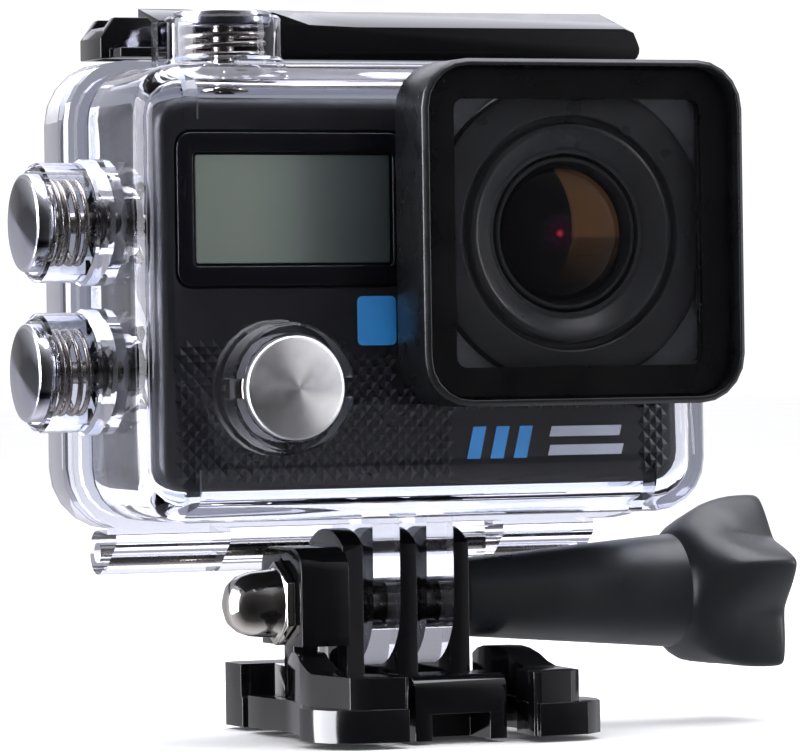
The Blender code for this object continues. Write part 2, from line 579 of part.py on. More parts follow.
# --- buckle and thumbscrew --------------------------------------------------------------------
def prong_outline():
    """Side view: straight sides, then round over the top about the thumbscrew."""
    lift = math.degrees(math.acos(PRONG_HALF / PRONG_R))
    top = arc((0, PIVOT_Z), PRONG_R, lift, 180 - lift, 14)
    return [(-PRONG_HALF, 3.5), (PRONG_HALF, 3.5)] + top


def make_buckle(looks):
    base = prism("buckle_body", "z", [
        (-7.4, -11.8), (-5.2, -13.8), (-5.2, -19.4), (5.2, -19.4), (5.2, -13.8), (7.4, -11.8),
        (7.4, 10.6), (12.4, 12.2), (12.4, 17.4), (10.9, 18.4), (-10.9, 18.4), (-12.4, 17.4), (-12.4, 12.2), (-7.4, 10.6),
    ], 0.0, 3.3, looks["gloss"])
    outline = prong_outline()
    prongs = [prism(f"prong_{n}_add", "x", outline, low, high)
              for n, low, high in (("left", -7.3, -4.95), ("middle", -1.25, 1.25), ("right", 4.95, 7.3))]
    floor = block("buckle_floor_add", (-7.3, -11.7, 3.0), (7.3, 9.6, 6.2))
    nose = prism("buckle_nose_add", "x",
                 [(-12.0, 2.5), (-19.4, 2.5)] + arc((-17.8, 5.2), 1.6, 180, 90, 6) + [(-12.0, 6.8)], -5.2, 5.2)
    stop = prism("buckle_stop_add", "z", [
        (-7.2, 9.0), (7.2, 9.0), (8.4, 12.6), (12.4, 12.6), (12.4, 17.4), (10.9, 18.4), (-10.9, 18.4), (-12.4, 17.4),
        (-12.4, 12.6), (-8.4, 12.6),
    ], 3.0, 6.9)
    boss_top = arc((-3.3, 17.4), 2.6, 180, 90, 5)
    boss_outline = [(-5.9, 9.5)] + boss_top + [(-y, z) for y, z in boss_top[::-1]] + [(5.9, 9.5)]
    boss = prism("nut_boss_add", "x", boss_outline, -12.4, -7.0)
    boss_foot = prism("nut_boss_foot_add", "z", [
        (-7.0, -5.2), (-8.2, -5.2), (-8.2, 0.2), (-10.4, 1.8), (-10.4, 4.6), (-7.0, 4.6)], 2.8, PIVOT_Z - 1)
    fuse(base, *prongs, floor, nose, stop, boss, boss_foot)
    pocket = turned("nut_pocket_cut", (-13.0, 0, PIVOT_Z), (1, 0, 0), [(0, 0), (0, 4.9), (4.8, 4.9), (4.8, 0)], steps=6)
    bore = turned("buckle_bore_cut", (-12.4, 0, PIVOT_Z), (1, 0, 0), [(0, 0), (0, BORE_R), (25, BORE_R), (25, 0)])
    mouth = block("buckle_mouth_cut", (-3.3, -20.5, -1), (3.3, -14.0, 2.8))
    slots = [block(f"finger_slot_{n}_cut", (low, -9.0, 5.2), (high, 9.0, 7.5))
             for n, low, high in (("left", -4.95, -1.25), ("right", 1.25, 4.95))]
    return cut(base, pocket, bore, mouth, *slots)


def make_arm(name, side, looks):
    """A sprung arm: a low blade from its rear root, a raised finger hump and a barbed head."""

    def plan(part, outline, top):
        return prism(part, "z", [(side * a, b) for a, b in outline], 0.3, top)

    hump = 8.9
    arm = plan(name, [
        (9.6, 9.6), (8.4, 8.4), (8.6, 6.6), (11.2, 5.4), (11.2, 1.6), (9.5, -0.6), (9.5, -4.0), (10.3, -8.0), (10.3, -13.0),
        (8.2, -16.0), (7.2, -20.4), (7.4, -23.1), (13.0, -22.8), (15.4, -20.6), (16.4, -17.6), (16.4, -14.8), (14.2, -12.0),
        (13.9, -8.6), (12.7, -3.4), (12.6, -0.8), (13.3, 2.6), (13.2, 8.4), (11.6, 9.8)], 3.7)
    arm.data.materials.append(looks["gloss"])
    raised = plan(name + "_raised_add", [
        (9.5, -0.4), (9.5, -4.0), (10.3, -8.0), (10.3, -13.0), (7.9, -15.8), (7.6, -20.0), (7.1, -20.6), (7.1, -22.2),
        (7.7, -22.8), (11.4, -22.2), (13.0, -20.6), (13.5, -17.0), (14.0, -12.0), (13.8, -8.6), (12.6, -3.4), (11.6, 0.6),
        (10.8, 1.0)], hump)
    # What is left under this side view is the wavy top.
    wave = prism(name + "_wave_cut", "x", [
        (-30, 12), (-30, 7.0), (-12.4, 7.0), (-10.6, 7.4), (-8.8, 8.1), (-7.0, 8.7), (-5.6, hump), (-3.4, hump),
        (-1.8, 8.6), (-0.2, 7.9), (1.4, 6.9), (3.0, 5.4), (12, 4.4), (12, 12)], *sorted((side * 5.0, side * 18.0)))
    fuse(arm, raised)
    return cut(arm, wave)


def make_thumbscrew(looks):
    start, bore_end = 7.6, 21.0
    lobes, steps = 5, 60
    # Each section: x, radius at the lobes' tips, and how deep the hollows between them are.
    profile = [(start, 4.0, 0), (start + 0.4, 4.2, 0), (33.4, 6.25, 0), (34.3, 7.3, 0.1), (36.2, 8.7, 0.8),
               (38.4, 9.7, 1.7), (40.8, 10.2, 2.5), (43.0, 10.3, 3.0), (44.1, 10.2, 3.2), (44.5, 9.8, 3.2)]
    sections = []
    for x, tip, hollow in profile:
        points = []
        for i in range(steps):
            angle = 2 * math.pi * i / steps
            away = abs((lobes * (angle - LOBE_ANGLE) / math.pi + 1) % 2 - 1)  # 0 at a tip, 1 in a hollow
            radius = tip - hollow * (1 - (1 - away) ** 1.7)
            points.append(to_world("x", radius * math.cos(angle), PIVOT_Z + radius * math.sin(angle), x))
        sections.append(points)
    handle = skin("thumbscrew_handle", sections, looks["matt"])
    cut(handle, turned("handle_bore_cut", (start - 1, 0, PIVOT_Z), (1, 0, 0),
                       [(0, 0), (0, BORE_R), (bore_end - start + 1, BORE_R), (bore_end - start + 1, 0)]))
    bolt_low, bolt_high = -16.0, bore_end - GAP
    turned("thumbscrew_bolt", (0, 0, PIVOT_Z), (1, 0, 0), [
        (bolt_low, 0), (bolt_low, BOLT_R - 0.5), (bolt_low + 0.5, BOLT_R), (bolt_high, BOLT_R), (bolt_high, 0),
    ], looks["steel"], steps=24)
    dome = [(-18.9, 0), (-18.8, 1.2), (-18.3, 2.3), (-17.4, 3.05), (-16.2, 3.45), (-14.8, 3.6), (-13.6, 3.65)]
    nut = turned("acorn_nut", (0, 0, PIVOT_Z), (1, 0, 0), dome + [(-13.2, 3.9), (-10.0, 3.9), (-10.0, 0)], looks["chrome"])
    hexagon = turned("nut_hex_add", (-13.3, 0, PIVOT_Z), (1, 0, 0), [(0, 0), (0, 4.55), (4.6, 4.55), (4.6, 0)], steps=6)
    fuse(nut, hexagon)
    cut(nut, turned("nut_bore_cut", (-16.4, 0, PIVOT_Z), (1, 0, 0), [(0, 0), (0, BORE_R), (9, BORE_R), (9, 0)], steps=24))


def main():
    for obj in list(bpy.data.objects):
        bpy.data.objects.remove(obj)
    looks = make_materials()
    make_front_shell(looks)
    make_window(looks)
    make_rear_door(looks)
    make_latch(looks)
    for name, plunger in PLUNGERS.items():
        make_plunger(name, plunger, looks)
    make_camera(looks)
    make_buckle(looks)
    make_arm("buckle_arm_left", -1, looks)
    make_arm("buckle_arm_right", 1, looks)
    make_thumbscrew(looks)


main()
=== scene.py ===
"""Looks for an action camera in its clear dive housing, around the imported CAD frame.

Lengths are millimetres, and MM turns them into metres, except in the last section: the camera,
the lights and the floor are placed in metres. The frame's +X runs along the thumbscrew, -Y out
of the lens and +Z up.
"""
import math

import bmesh
import bpy
from mathutils import Matrix, Vector


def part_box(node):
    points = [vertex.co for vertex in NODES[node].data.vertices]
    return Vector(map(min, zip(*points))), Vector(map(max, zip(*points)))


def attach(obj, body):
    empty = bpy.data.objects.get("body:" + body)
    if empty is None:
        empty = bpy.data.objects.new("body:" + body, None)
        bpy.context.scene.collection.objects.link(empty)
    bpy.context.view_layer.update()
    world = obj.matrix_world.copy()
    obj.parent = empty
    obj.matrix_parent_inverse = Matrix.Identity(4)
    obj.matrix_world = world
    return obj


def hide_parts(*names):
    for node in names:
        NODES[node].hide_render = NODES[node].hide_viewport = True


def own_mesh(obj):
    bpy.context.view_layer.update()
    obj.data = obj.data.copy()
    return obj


MM = 0.001
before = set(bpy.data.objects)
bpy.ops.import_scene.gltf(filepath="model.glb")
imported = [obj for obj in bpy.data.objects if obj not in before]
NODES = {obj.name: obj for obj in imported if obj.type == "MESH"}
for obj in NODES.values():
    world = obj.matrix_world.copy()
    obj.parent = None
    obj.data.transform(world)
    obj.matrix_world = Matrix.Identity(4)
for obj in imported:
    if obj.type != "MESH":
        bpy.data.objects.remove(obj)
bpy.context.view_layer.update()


def low(node):
    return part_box(node)[0] / MM


def high(node):
    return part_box(node)[1] / MM


BODY_FRONT = -10.6  # plain front face of the camera, behind the shell
LENS_X, LENS_Z = ((low("lens_barrel") + high("lens_barrel")) / 2).xz
PIVOT_Z = ((low("thumbscrew_bolt") + high("thumbscrew_bolt")) / 2).z


# --- materials ------------------------------------------------------------------------------
class Look:
    """A node material with one Principled shader and short calls for its textures."""

    def __init__(self, name, colour, roughness, **values):
        self.material = bpy.data.materials.new(name)
        self.material.use_nodes = True
        self.tree = self.material.node_tree
        self.shader = self.tree.nodes["Principled BSDF"]
        self.output = self.tree.nodes["Material Output"]
        self.shader.inputs["Base Color"].default_value = (*colour, 1.0)
        self.shader.inputs["Roughness"].default_value = roughness
        for key, value in values.items():
            self.shader.inputs[key.replace("_", " ")].default_value = value
        self.place = self.add("ShaderNodeNewGeometry").outputs["Position"]

    def add(self, kind, **settings):
        node = self.tree.nodes.new(kind)
        for key, value in settings.items():
            setattr(node, key, value)
        return node

    def join(self, source, target):
        self.tree.links.new(source, target)

    def noise(self, scale, detail=3.0):
        """Noise over the object, scale in waves per metre."""
        node = self.add("ShaderNodeTexNoise")
        node.inputs["Scale"].default_value = scale
        node.inputs["Detail"].default_value = detail
        self.join(self.place, node.inputs["Vector"])
        return node.outputs["Fac"]

    def ramp(self, source, stops):
        """A colour ramp: stops are (position, value or colour)."""
        node = self.add("ShaderNodeValToRGB")
        elements = node.color_ramp.elements
        while len(elements) < len(stops):
            elements.new(0.5)
        for element, (position, value) in zip(elements, stops):
            colour = value if isinstance(value, tuple) else (value,) * 3
            element.position = position
            element.color = (*colour, 1.0)
        self.join(source, node.inputs["Fac"])
        return node.outputs["Color"]

    def bump(self, source, depth, strength):
        """A bump from source, depth in millimetres."""
        node = self.add("ShaderNodeBump")
        node.inputs["Strength"].default_value = strength
        node.inputs["Distance"].default_value = depth * MM
        self.join(source, node.inputs["Height"])
        self.join(node.outputs["Normal"], self.shader.inputs["Normal"])
        return self

    def vary(self, socket, scale, darker, lighter):
        """Lets a noise move a socket between two values or colours."""
        self.join(self.ramp(self.noise(scale), [(0.3, darker), (0.7, lighter)]), self.shader.inputs[socket])
        return self

    def along(self, axis, start, end):
        """0 at start and 1 at end along an axis, in millimetres of the frame."""
        split = self.add("ShaderNodeSeparateXYZ")
        self.join(self.place, split.inputs["Vector"])
        span = self.add("ShaderNodeMapRange")
        span.inputs["From Min"].default_value = start * MM
        span.inputs["From Max"].default_value = end * MM
        self.join(split.outputs[axis], span.inputs["Value"])
        return span.outputs["Result"]

    def math(self, operation, one, two):
        """A Math node over two sockets or numbers."""
        node = self.add("ShaderNodeMath", operation=operation)
        for value, target in zip((one, two), node.inputs):
            if isinstance(value, (int, float)):
                target.default_value = value
            else:
                self.join(value, target)
        return node.outputs["Value"]

    def clear_shadow(self, tint):
        """Lets light through to what is inside: shadow, diffuse and mirror rays pass straight on.

        A mirror ray that started inside the plastic, by total reflection, still bends at its surface.
        """
        path = self.add("ShaderNodeLightPath")
        first_surface = self.math("LESS_THAN", path.outputs["Transparent Depth"], 0.5)
        from_within = self.add("ShaderNodeNewGeometry").outputs["Backfacing"]
        inside = self.math("MULTIPLY", from_within, first_surface)
        outside = self.math("SUBTRACT", 1.0, inside)
        mirrored = self.math("MULTIPLY", path.outputs["Is Glossy Ray"], outside)
        soft = self.math("MAXIMUM", path.outputs["Is Shadow Ray"], path.outputs["Is Diffuse Ray"])
        passes = self.math("MAXIMUM", soft, mirrored)
        through = self.add("ShaderNodeBsdfTransparent")
        through.inputs["Color"].default_value = (*tint, 1.0)
        mix = self.add("ShaderNodeMixShader")
        self.join(passes, mix.inputs["Fac"])
        self.join(self.shader.outputs["BSDF"], mix.inputs[1])
        self.join(through.outputs["BSDF"], mix.inputs[2])
        self.join(mix.outputs["Shader"], self.output.inputs["Surface"])
        return self


def clear_plastic(name, colour, ior, roughness=0.0):
    """Clear moulding, a little milky where it is seen edge-on."""
    look = Look(name, colour, roughness, IOR=ior, Specular_IOR_Level=1.0)
    facing = look.add("ShaderNodeLayerWeight").outputs["Facing"]
    look.join(look.ramp(facing, [(0.6, 1.0), (0.66, 0.98), (0.85, 0.7), (1.0, 0.45)]),
              look.shader.inputs["Transmission Weight"])
    look.bump(look.noise(60, 2.0), 0.05, 0.25)
    return look.clear_shadow(tint=(0.93, 0.94, 0.96)).material


def moulded(name, colour, roughness, grain=0.02, grain_scale=4500, **values):
    """Moulded plastic: fine grain, with slow changes of colour and gloss."""
    look = Look(name, colour, roughness, **values)
    darker = tuple(c * 0.8 for c in colour)
    lighter = tuple(c * 1.25 for c in colour)
    look.vary("Base Color", 90, darker, lighter)
    look.vary("Roughness", 240, roughness * 0.8, min(roughness * 1.25, 1.0))
    return look.bump(look.noise(grain_scale, 2.0), grain, 0.35).material


def metal(name, colour, roughness):
    """Bare metal, with uneven gloss and faint marks."""
    look = Look(name, colour, roughness, Metallic=1.0)
    look.vary("Roughness", 900, roughness * 0.7, roughness * 1.5)
    return look.bump(look.noise(2500, 2.0), 0.004, 0.2).material


def turned_metal(name, colour, roughness, centre, axis):
    """Metal turned about an axis through centre, so that its highlights fan out from the middle."""
    look = Look(name, colour, roughness, Metallic=1.0, Anisotropic=0.8)
    look.vary("Roughness", 900, roughness * 0.9, roughness * 1.1)
    spoke = look.add("ShaderNodeVectorMath", operation="SUBTRACT")
    look.join(look.place, spoke.inputs[0])
    spoke.inputs[1].default_value = tuple(c * MM for c in centre)
    around = look.add("ShaderNodeVectorMath", operation="CROSS_PRODUCT")
    look.join(spoke.outputs["Vector"], around.inputs[0])
    around.inputs[1].default_value = axis
    straight = look.add("ShaderNodeVectorMath", operation="NORMALIZE")
    look.join(around.outputs["Vector"], straight.inputs[0])
    look.join(straight.outputs["Vector"], look.shader.inputs["Tangent"])
    return look.material


def make_side_cap_painted_reflection():
    """Polished cap with a painted reflection: its base colour follows its facing, as if it mirrored a dark
    room over a pale floor.
    """
    look = Look("side_cap_painted_reflection", (0.5, 0.5, 0.56), 0.16, Metallic=1.0)
    floorward = (0.0, 0.5, -0.85)
    facing = look.add("ShaderNodeVectorMath", operation="DOT_PRODUCT")
    look.join(look.add("ShaderNodeNewGeometry").outputs["Normal"], facing.inputs[0])
    facing.inputs[1].default_value = floorward
    # Painted reflection: the base colour goes light or dark with where the normal points.
    tone = look.ramp(look.math("ADD", facing.outputs["Value"], 0.5), [
        (0.3, (0.7, 0.7, 0.75)), (0.4, (0.04, 0.04, 0.05)), (0.5, (0.07, 0.07, 0.085)),
        (0.54, (0.5, 0.5, 0.6)), (0.7, (0.8, 0.8, 0.9)),
    ])
    look.join(tone, look.shader.inputs["Base Color"])
    return look.material


def make_lcd():
    """Reflective liquid crystal: grey-green, and dark towards the lens box."""
    look = Look("display", (0.3, 0.34, 0.3), 0.3)
    panel = look.ramp(look.along("X", -26.0, -4.5), [
        (0.0, (0.14, 0.162, 0.125)), (0.3, (0.155, 0.177, 0.136)), (0.5, (0.125, 0.147, 0.116)),
        (0.64, (0.078, 0.09, 0.076)), (0.8, (0.052, 0.062, 0.056)), (1.0, (0.036, 0.044, 0.042)),
    ])
    look.join(panel, look.shader.inputs["Base Color"])
    return look.bump(look.noise(3000, 2.0), 0.01, 0.1).material


def make_front_glass():
    """Front lens element: black, with a painted orange-brown coating reflection on the right and a painted
    red glint in its dark centre.
    """
    look = Look("lens_glass", (0.004, 0.004, 0.004), 0.05)
    radius = 7.3
    reach = radius * MM

    def from_point(across, up):
        """Distance from a point of the glass, both in shares of its radius."""
        offset = look.add("ShaderNodeVectorMath", operation="MULTIPLY_ADD")
        look.join(look.place, offset.inputs[0])
        offset.inputs[1].default_value = (1 / reach, 0, 1 / reach)
        offset.inputs[2].default_value = (-LENS_X * MM / reach - across, 0, -LENS_Z * MM / reach - up)
        length = look.add("ShaderNodeVectorMath", operation="LENGTH")
        look.join(offset.outputs["Vector"], length.inputs[0])
        return length.outputs["Value"]

    def band(source, zero_at, one_at):
        """0 where the source is zero_at and 1 where it is one_at."""
        node = look.add("ShaderNodeMapRange")
        node.inputs["From Min"].default_value = zero_at
        node.inputs["From Max"].default_value = one_at
        look.join(source, node.inputs["Value"])
        return node.outputs["Result"]

    # Painted reflection: an orange-brown band on the right of the glass, added into its base colour.
    beyond_arc = band(from_point(-1.35, 0.12), 1.47, 1.51)
    upright = look.ramp(look.along("Z", LENS_Z - radius, LENS_Z + radius), [
        (0.12, 0.0), (0.4, 0.35), (0.46, 0.4), (0.48, 1.0), (0.8, 1.0), (1.0, 0.7),
    ])
    inside_rim = band(from_point(0.0, 0.0), 0.97, 0.93)
    painted_coating_reflection = look.math("MULTIPLY", look.math("MULTIPLY", beyond_arc, upright), inside_rim)
    # Painted highlight: a red glint in the dark centre, ringed by faint painted reflections.
    pupil_with_painted_glint = look.ramp(from_point(-0.06, 0.0), [
        (0.0, (0.6, 0.2, 0.22)), (0.015, (0.4, 0.02, 0.05)), (0.05, (0.12, 0.006, 0.015)),
        (0.07, (0.02, 0.004, 0.008)), (0.19, (0.012, 0.004, 0.01)), (0.21, (0.004, 0.003, 0.005)),
        (0.27, (0.012, 0.008, 0.009)), (0.3, (0.003, 0.003, 0.003)),
    ])
    with_painted_reflection = look.add("ShaderNodeMix", data_type="RGBA", blend_type="ADD")
    look.join(painted_coating_reflection, with_painted_reflection.inputs["Factor"])
    look.join(pupil_with_painted_glint, with_painted_reflection.inputs[6])
    with_painted_reflection.inputs[7].default_value = (0.072, 0.035, 0.014, 1.0)
    look.join(with_painted_reflection.outputs[2], look.shader.inputs["Base Color"])
    return look.material


CLEAR = clear_plastic("clear_polycarbonate", (0.79, 0.79, 0.86), 1.25)
SILICONE = clear_plastic("seal_silicone", (0.85, 0.85, 0.9), 1.2, 0.3)
WINDOW = moulded("window_glass", (0.003, 0.003, 0.004), 0.04, grain=0.0, Alpha=0.16,
                 Specular_IOR_Level=0.3)
GLOSS = moulded("gloss_black", (0.003, 0.003, 0.004), 0.1, grain=0.003, grain_scale=700,
                Coat_Weight=0.3)
SATIN = moulded("satin_black", (0.007, 0.0075, 0.009), 0.28, grain=0.01)
MATT = moulded("matt_black", (0.013, 0.014, 0.017), 0.33, grain=0.012, grain_scale=2600)
BODY = moulded("camera_body", (0.009, 0.009, 0.01), 0.45, grain=0.02)
KNURL = moulded("camera_knurl", (0.009, 0.009, 0.011), 0.3, grain=0.01)
CORNER = moulded("lens_corner_grey", (0.08, 0.083, 0.095), 0.42, grain=0.01)
RINGS = moulded("lens_ring_black", (0.02, 0.021, 0.025), 0.32, grain=0.004)
RUBBER = moulded("seal_rubber", (0.008, 0.008, 0.009), 0.6, grain=0.03)
NICKEL = metal("nickel", (0.66, 0.63, 0.58), 0.1)
STEEL = metal("spring_steel", (0.55, 0.5, 0.44), 0.22)
BOARD = moulded("circuit_board", (0.02, 0.12, 0.05), 0.45)
WRAP = moulded("battery_wrap", (0.06, 0.06, 0.08), 0.3)
BLUE = moulded("print_blue", (0.03, 0.22, 0.5), 0.35, grain=0.004)
GREY = moulded("print_grey", (0.4, 0.42, 0.46), 0.35, grain=0.004)
SIDE_CAP_PAINTED_REFLECTION = make_side_cap_painted_reflection()
LCD = make_lcd()
GLASS = make_front_glass()
MASK = moulded("window_mask", (0.002, 0.0022, 0.0024), 0.3, grain=0.0)
DOT = moulded("camera_dark", (0.006, 0.006, 0.007), 0.15, grain=0.0)


# --- shape helpers ----------------------------------------------------------------------------
def to_world(axis, a, b, h):
    """A point with plane coordinates (a, b) and height h along axis x, y or z."""
    return Vector({"x": (h, a, b), "y": (a, h, b), "z": (a, b, h)}[axis]) * MM


def arc(centre, radius, start, end, steps):
    angles = [math.radians(start + (end - start) * i / steps) for i in range(steps + 1)]
    return [(centre[0] + radius * math.cos(a), centre[1] + radius * math.sin(a)) for a in angles]


def rounded_rect(centre, width, tall, radius):
    steps, points = 10, []
    for side_a, side_b, start in ((1, 1, 0), (-1, 1, 90), (-1, -1, 180), (1, -1, 270)):
        middle = (centre[0] + side_a * (width / 2 - radius), centre[1] + side_b * (tall / 2 - radius))
        points += arc(middle, radius, start, start + 90, steps)
    return points


def piece(name, mesh, look, body, nodes=()):
    """Puts a finished mesh in the scene, riding on a body and standing for its CAD nodes."""
    made = bpy.data.objects.new(name, mesh)
    bpy.context.scene.collection.objects.link(made)
    mesh.materials.append(look)
    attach(made, body)
    if nodes:
        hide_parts(*nodes)
    return made


def close(bm, name, angle=32):
    bmesh.ops.recalc_face_normals(bm, faces=bm.faces)
    mesh = bpy.data.meshes.new(name)
    bm.to_mesh(mesh)
    bm.free()
    mesh.shade_smooth()
    mesh.set_sharp_from_angle(angle=math.radians(angle))
    return mesh


def skin(name, loops, ring=False, angle=32):
    """A closed body over loops of world points; ring joins the last loop to the first."""
    bm = bmesh.new()
    rows = [[bm.verts.new(point) for point in loop] for loop in loops]
    pairs = list(zip(rows, rows[1:])) + ([(rows[-1], rows[0])] if ring else [])
    for one, two in pairs:
        count = max(len(one), len(two))
        for i in range(count):
            j = (i + 1) % count
            if len(one) == 1:
                bm.faces.new((one[0], two[j], two[i]))
            elif len(two) == 1:
                bm.faces.new((one[i], one[j], two[0]))
            else:
                bm.faces.new((one[i], one[j], two[j], two[i]))
    if not ring:
        for row in (rows[0], rows[-1]):
            if len(row) > 1:
                bm.faces.new(row)
    return close(bm, name, angle)


def turned(name, at, out, profile, ring=False, angle=32):
    """A body turned about the line from at along out; profile is (height, radius)."""
    steps = 96
    out = Vector(out).normalized()
    side = Vector((0, 0, 1)) if abs(out.z) < 0.5 else Vector((0, 1, 0))
    other = out.cross(side)
    loops = []
    for height, radius in profile:
        centre = Vector(at) + out * height
        if radius < 1e-6:
            loops.append([centre * MM])
            continue
        turns = [2 * math.pi * i / steps for i in range(steps)]
        loops.append([(centre + (side * math.cos(a) + other * math.sin(a)) * radius) * MM for a in turns])
    return skin(name, loops, ring, angle)


def stack(name, axis, sections, ring=False):
    """A body through rounded rectangles: (height, centre, width, tall, corner radius)."""
    loops = [[to_world(axis, a, b, h) for a, b in rounded_rect(centre, width, tall, radius)]
             for h, centre, width, tall, radius in sections]
    return skin(name, loops, ring)


def smooth_by_angle():
    """A node group that shades smooth, except where faces meet at more than 35 degrees."""
    group = bpy.data.node_groups.new("smooth_by_angle", "GeometryNodeTree")
    group.interface.new_socket("Geometry", in_out="INPUT", socket_type="NodeSocketGeometry")
    group.interface.new_socket("Geometry", in_out="OUTPUT", socket_type="NodeSocketGeometry")
    start, end = group.nodes.new("NodeGroupInput"), group.nodes.new("NodeGroupOutput")
    faces = group.nodes.new("GeometryNodeSetShadeSmooth")
    edges = group.nodes.new("GeometryNodeSetShadeSmooth")
    edges.domain = "EDGE"
    angle = group.nodes.new("GeometryNodeInputMeshEdgeAngle")
    below = group.nodes.new("FunctionNodeCompare")
    below.operation = "LESS_THAN"
    below.inputs[1].default_value = math.radians(35)
    group.links.new(angle.outputs["Unsigned Angle"], below.inputs[0])
    group.links.new(start.outputs[0], faces.inputs["Geometry"])
    group.links.new(faces.outputs["Geometry"], edges.inputs["Geometry"])
    group.links.new(below.outputs["Result"], edges.inputs["Shade Smooth"])
    group.links.new(edges.outputs["Geometry"], end.inputs[0])
    return group


SMOOTH = smooth_by_angle()


def dress(node, look, edge):
    """Gives a CAD node its material, softened edges and smooth shading, all as modifiers."""
    obj = NODES[node]
    obj.data.materials.clear()
    obj.data.materials.append(look)
    weld = obj.modifiers.new("weld", "WELD")
    weld.merge_threshold = 0.002 * MM
    if edge:
        flat = obj.modifiers.new("flat", "DECIMATE")
        flat.decimate_type = "DISSOLVE"
        flat.angle_limit = math.radians(0.6)
        bevel = obj.modifiers.new("edge", "BEVEL")
        bevel.width = edge * MM
        bevel.segments = 3
        bevel.limit_method = "ANGLE"
        bevel.angle_limit = math.radians(34)
        bevel.miter_outer = "MITER_ARC"
        bevel.harden_normals = False
    smooth = obj.modifiers.new("smooth", "NODES")
    smooth.node_group = SMOOTH


# --- the CAD nodes' looks ---------------------------------------------------------------------
DRESSED = {
    "front_shell": (CLEAR, 0.0), "rear_door": (CLEAR, 0.0), "lens_window": (WINDOW, 0.0),
    "rear_screen": (DOT, 0.1), "window_seal": (RUBBER, 0.1), "door_seal": (SILICONE, 0.0),
    "lens_frame": (SATIN, 0.3), "latch_bracket": (GLOSS, 0.35), "latch_lever": (GLOSS, 0.45),
    "latch_pin": (STEEL, 0.1), "hinge_pin": (STEEL, 0.1), "display_bezel": (GLOSS, 0.15),
    "display_panel": (LCD, 0.05), "front_cover": (BODY, 0.2), "rear_cover": (BODY, 0.2),
    "battery_door": (BODY, 0.2), "buckle_body": (GLOSS, 0.35), "buckle_arm_left": (GLOSS, 0.35),
    "buckle_arm_right": (GLOSS, 0.35), "thumbscrew_bolt": (STEEL, 0.1), "acorn_nut": (NICKEL, 0.15),
    "sensor_board": (BOARD, 0.1), "main_board": (BOARD, 0.1), "battery": (WRAP, 0.3),
    "lens_inner_element": (GLASS, 0.0),
}
for plunger in ("mode", "shutter", "up", "down"):
    DRESSED[plunger + "_button"] = (BODY, 0.1)
    DRESSED[plunger + "_stem"] = (STEEL, 0.1)
    DRESSED[plunger + "_clip"] = (STEEL, 0.1)
    DRESSED[plunger + "_o_ring"] = (RUBBER, 0.0)
for cad_node, (cad_look, cad_edge) in DRESSED.items():
    dress(cad_node, cad_look, cad_edge)


# --- lens ---------------------------------------------------------------------------------------
def make_lens():
    """The ringed disc behind the window, the lens tube in its middle and the domed front element."""
    at, out = (LENS_X, 0, LENS_Z), (0, -1, 0)
    surround = turned("lens_rings", at, out, [
        (13.3, 9.2), (13.3, 16.2), (17.0, 16.2), (17.35, 16.05), (17.5, 15.6), (17.5, 12.6), (17.4, 12.45),
        (16.6, 12.3), (16.6, 11.8), (17.3, 11.7), (17.65, 11.5), (17.8, 11.2), (17.8, 11.0), (17.65, 10.75),
        (16.8, 9.2), (16.5, 8.95), (16.3, 8.85), (16.3, 8.45), (14.6, 8.45), (14.6, 9.2),
    ], ring=True)
    piece("lens_rings", surround, RINGS, "housing", ["lens_surround"])
    barrel = turned("lens_tube", at, out, [
        (5.4, 6.6), (12.6, 6.6), (12.6, 8.1), (15.9, 8.1), (16.1, 8.05), (16.2, 7.9), (16.2, 7.65),
        (16.1, 7.6), (14.0, 7.4), (14.0, 5.2), (12.2, 5.2), (12.2, 4.6), (5.4, 4.6),
    ], ring=True)
    piece("lens_tube", barrel, MATT, "housing", ["lens_barrel"])
    base, radius, rise = 14.6, 7.1, 1.1
    bend = [math.radians(a) for a in range(84, 0, -6)]
    dome = [(base + rise * math.cos(a), radius * math.sin(a)) for a in bend]
    glass = turned("lens_glass", at, out, [(14.3, 0), (14.3, 7.0)] + dome + [(base + rise, 0)])
    piece("lens_glass", glass, GLASS, "housing", ["lens_front_element"])


def make_window_mask():
    """Black printed border on the window's inner face: (width, height, corner radius) of each outline."""
    centre, clear, outer = (LENS_X, LENS_Z), (28.5, 28.2, 1.2), (34.9, 34.3, 4.2)
    front, back = -19.78, -19.68
    mask = stack("window_mask", "y", [
        (front, centre, *clear), (front, centre, *outer), (back, centre, *outer), (back, centre, *clear),
    ], ring=True)
    piece("window_mask", mask, MASK, "housing")


def make_corner_plates():
    """Grey plates in the corners behind the window, round the lens disc."""
    disc, side, chamfer_end = 16.4, 16.2, 13.2
    front, back = -16.6, -16.1
    edge = arc((0, 0), disc, 14, 76, 24)
    outline = [(side, edge[0][1])] + edge + [(edge[-1][0], side), (chamfer_end, side), (side, chamfer_end)]
    for side_x, word_x in ((-1, "left"), (1, "right")):
        for side_z, word_z in ((-1, "low"), (1, "high")):
            loops = [[to_world("y", LENS_X + side_x * a, LENS_Z + side_z * b, h) for a, b in outline]
                     for h in (front, back)]
            name = f"corner_plate_{word_x}_{word_z}"
            piece(name, skin(name, loops), CORNER, "housing")


make_lens()
make_window_mask()
make_corner_plates()


